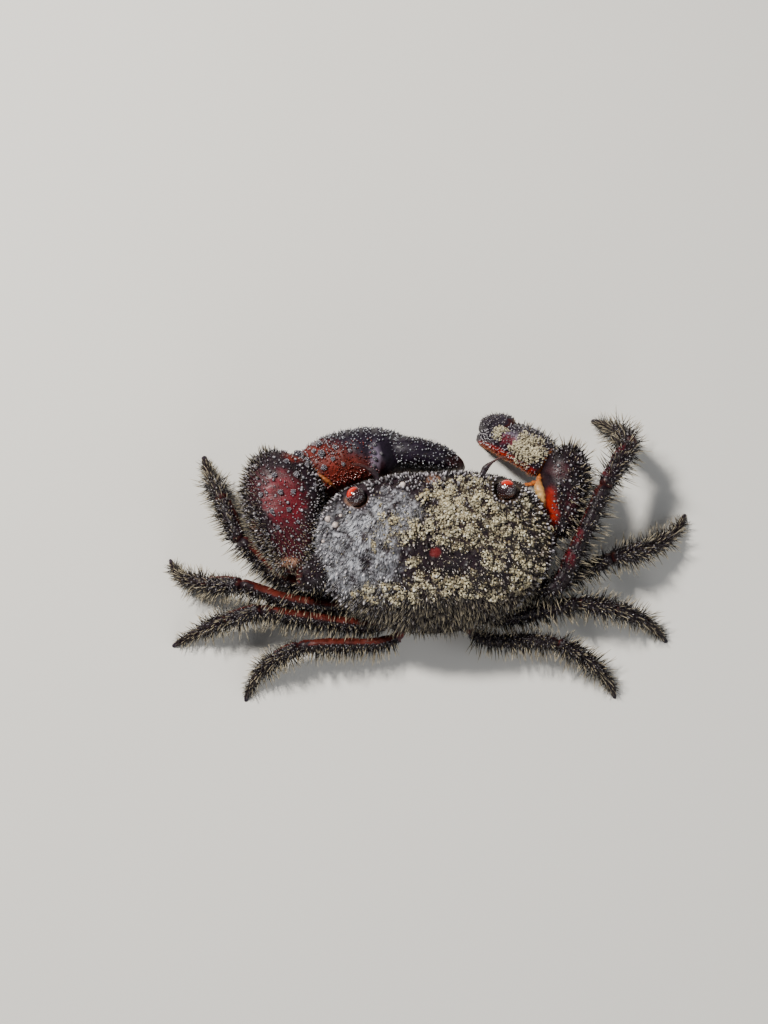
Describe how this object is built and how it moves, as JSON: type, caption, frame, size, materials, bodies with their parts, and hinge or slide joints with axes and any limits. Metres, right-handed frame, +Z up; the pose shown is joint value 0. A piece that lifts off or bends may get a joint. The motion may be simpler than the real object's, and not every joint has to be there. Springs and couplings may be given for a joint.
{
  "type": "bristly rock crab",
  "caption": "Life-size still model of a purple bristle crab, standing on its leg tips with unequal claws folded in front.",
  "frame": {"origin": "middle of the bounding box, on the floor that the leg tips and claws stand on", "axes": "+Z up, +Y the way the crab faces, +X towards its right side"},
  "size_m": [0.1835, 0.1003, 0.0454],
  "materials": {
    "carapace_shell": "dark purple-maroon shell, close-set sharp tubercles under pale grit",
    "sternum_shell": "dull red-brown shell with short hair",
    "pleon_shell": "dull tan-brown shell",
    "eyestalk_shell": "purple-grey granular shell",
    "cornea": "wet vermilion eye surface",
    "mouthpart_shell": "hairy red-brown shell",
    "antenna_horn": "thin horny whip",
    "large_claw_shell": "wet crimson to purple-black shell with round tubercles and bristles",
    "small_claw_shell": "wet dark purple shell with bristles and a scarlet inner strip",
    "leg_shell": "purple-brown shell under a coat of stiff pale-tipped bristles"
  },
  "bodies": {
    "root": {"carapace": "carapace_shell", "sternum": "sternum_shell", "pleon": "pleon_shell", "eyestalk_left": "eyestalk_shell", "eyestalk_right": "eyestalk_shell", "cornea_left": "cornea", "cornea_right": "cornea", "maxilliped_left": "mouthpart_shell", "maxilliped_right": "mouthpart_shell", "antenna_left": "antenna_horn", "antenna_right": "antenna_horn", "claw_left_merus": "large_claw_shell", "claw_left_carpus": "large_claw_shell", "claw_left_palm": "large_claw_shell", "claw_left_finger": "large_claw_shell", "claw_right_merus": "small_claw_shell", "claw_right_carpus": "small_claw_shell", "claw_right_palm": "small_claw_shell", "claw_right_finger": "small_claw_shell", "leg_left_1_merus": "leg_shell", "leg_left_1_carpus": "leg_shell", "leg_left_1_propodus": "leg_shell", "leg_left_1_dactyl": "leg_shell", "leg_left_2_merus": "leg_shell", "leg_left_2_carpus": "leg_shell", "leg_left_2_propodus": "leg_shell", "leg_left_2_dactyl": "leg_shell", "leg_left_3_merus": "leg_shell", "leg_left_3_carpus": "leg_shell", "leg_left_3_propodus": "leg_shell", "leg_left_3_dactyl": "leg_shell", "leg_left_4_merus": "leg_shell", "leg_left_4_carpus": "leg_shell", "leg_left_4_propodus": "leg_shell", "leg_left_4_dactyl": "leg_shell", "leg_right_1_merus": "leg_shell", "leg_right_1_carpus": "leg_shell", "leg_right_1_propodus": "leg_shell", "leg_right_1_dactyl": "leg_shell", "leg_right_2_merus": "leg_shell", "leg_right_2_carpus": "leg_shell", "leg_right_2_propodus": "leg_shell", "leg_right_2_dactyl": "leg_shell", "leg_right_3_merus": "leg_shell", "leg_right_3_carpus": "leg_shell", "leg_right_3_propodus": "leg_shell", "leg_right_3_dactyl": "leg_shell", "leg_right_4_merus": "leg_shell", "leg_right_4_carpus": "leg_shell", "leg_right_4_propodus": "leg_shell", "leg_right_4_dactyl": "leg_shell"}
  },
  "joints": []
}
